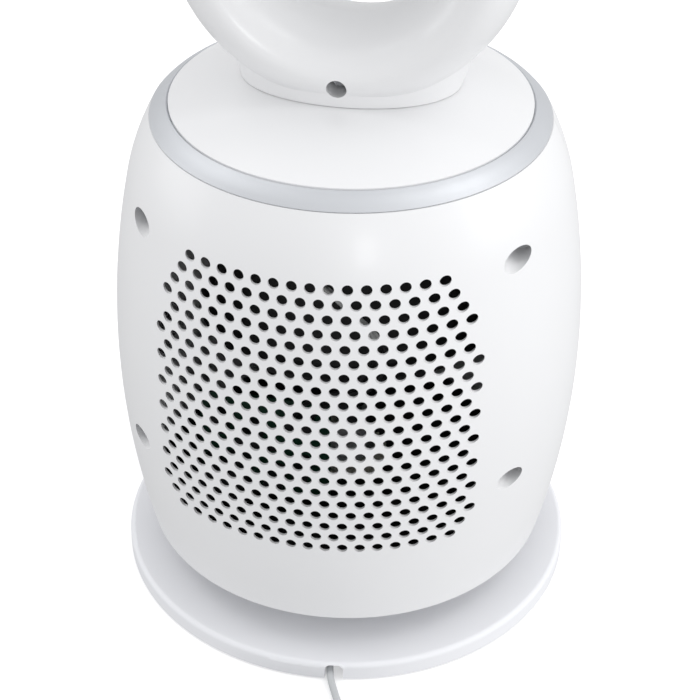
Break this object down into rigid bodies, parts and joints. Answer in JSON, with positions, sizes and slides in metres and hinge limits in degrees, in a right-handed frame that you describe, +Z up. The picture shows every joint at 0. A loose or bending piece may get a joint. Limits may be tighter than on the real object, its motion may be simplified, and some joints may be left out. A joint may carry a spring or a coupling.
{
  "type": "tower fan",
  "caption": "White tower fan: perforated barrel on a round base, silver trim ring, and an oval air loop that blows from a hidden slot.",
  "frame": {"origin": "on the floor under the centre of the base plate", "axes": "+Z up, the air leaves towards -Y, the intake grille and the cord face +Y"},
  "size_m": [0.234, 0.3288, 0.585],
  "materials": {
    "base_shell": "satin moulded white with a slight grey cast",
    "dark_plastic": "matt moulded",
    "cast_weight": "rough cast",
    "rubber": "matt",
    "screw_steel": "zinc plated",
    "race_steel": "ground",
    "gear_plastic": "natural acetal",
    "cord_sheath": "soft white sheath",
    "plug_plastic": "moulded white",
    "pin_metal": "nickel plated",
    "inner_plastic": "matt moulded",
    "shell_white": "glossy moulded white",
    "silver_trim": "satin silver paint",
    "loop_white": "glossy moulded white",
    "motor_metal": "satin",
    "bronze": "sintered",
    "board_green": "solder mask",
    "component_black": "moulded",
    "wire_white": "insulation",
    "smoked_window": "smoked gloss",
    "impeller_plastic": "glass filled",
    "button_white": "satin moulded white"
  },
  "bodies": {
    "base": {"base_plate": "base_shell", "base_bottom_cover": "dark_plastic", "base_weight": "cast_weight", "rubber_feet": "rubber", "base_cover_screws": "screw_steel", "lower_race": "race_steel", "bearing_balls": "race_steel", "sun_gear": "gear_plastic", "spindle_clip": "race_steel", "inner_lead": "cord_sheath", "cord_boot": "cord_sheath", "power_cord": "cord_sheath", "cord_coil": "cord_sheath", "cord_tail": "cord_sheath", "cord_tie": "dark_plastic", "plug_body": "plug_plastic", "plug_pins": "pin_metal"},
    "head": {"turntable_plate": "inner_plastic", "upper_race": "race_steel", "rear_shell": "shell_white", "front_shell": "shell_white", "shell_screws": "screw_steel", "trim_ring": "silver_trim", "top_disc": "shell_white", "loop_rear_shell": "loop_white", "loop_front_shell": "loop_white", "loop_screw": "screw_steel", "loop_seal": "rubber", "air_duct": "inner_plastic", "diffuser": "inner_plastic", "motor": "motor_metal", "motor_bearings": "bronze", "motor_bushes": "rubber", "oscillation_motor": "motor_metal", "oscillation_motor_screws": "screw_steel", "power_board": "board_green", "power_components": "component_black", "button_board": "board_green", "display_board": "board_green", "wire_harness": "wire_white", "display_window": "smoked_window"},
    "impeller_body": {"impeller": "impeller_plastic", "motor_shaft": "race_steel", "impeller_nut": "screw_steel"},
    "pinion_body": {"pinion": "gear_plastic"},
    "button_power_body": {"button_power": "button_white"},
    "button_speed_down_body": {"button_speed_down": "button_white"},
    "button_speed_up_body": {"button_speed_up": "button_white"},
    "button_oscillate_body": {"button_oscillate": "button_white"},
    "button_timer_body": {"button_timer": "button_white"}
  },
  "joints": [
    {"name": "head_swing", "type": "hinge", "parent": "base", "child": "head", "pos_m": [0, 0, 0.0298], "axis": [0, 0, 1], "range_deg": [-40, 40]},
    {"name": "pinion_spin", "type": "hinge", "parent": "head", "child": "pinion_body", "pos_m": [0.014, -0.02425, 0.052], "axis": [0, 0, 1], "range_deg": [-110, 110]},
    {"name": "impeller_spin", "type": "hinge", "parent": "head", "child": "impeller_body", "pos_m": [0, 0, 0.175], "axis": [0, 0, 1], "continuous": true},
    {"name": "press_power", "type": "slide", "parent": "head", "child": "button_power_body", "axis": [0, 1, 0], "range_m": [0, 0.0012], "stiffness_N_per_m": 600, "springref_m": -0.0004},
    {"name": "press_speed_down", "type": "slide", "parent": "head", "child": "button_speed_down_body", "axis": [0, 1, 0], "range_m": [0, 0.0012], "stiffness_N_per_m": 600, "springref_m": -0.0004},
    {"name": "press_speed_up", "type": "slide", "parent": "head", "child": "button_speed_up_body", "axis": [0, 1, 0], "range_m": [0, 0.0012], "stiffness_N_per_m": 600, "springref_m": -0.0004},
    {"name": "press_oscillate", "type": "slide", "parent": "head", "child": "button_oscillate_body", "axis": [0, 1, 0], "range_m": [0, 0.0012], "stiffness_N_per_m": 600, "springref_m": -0.0004},
    {"name": "press_timer", "type": "slide", "parent": "head", "child": "button_timer_body", "axis": [0, 1, 0], "range_m": [0, 0.0012], "stiffness_N_per_m": 600, "springref_m": -0.0004}
  ],
  "couplings": [
    {"joint": "pinion_spin", "follows": "head_swing", "ratio": 2.5}
  ]
}
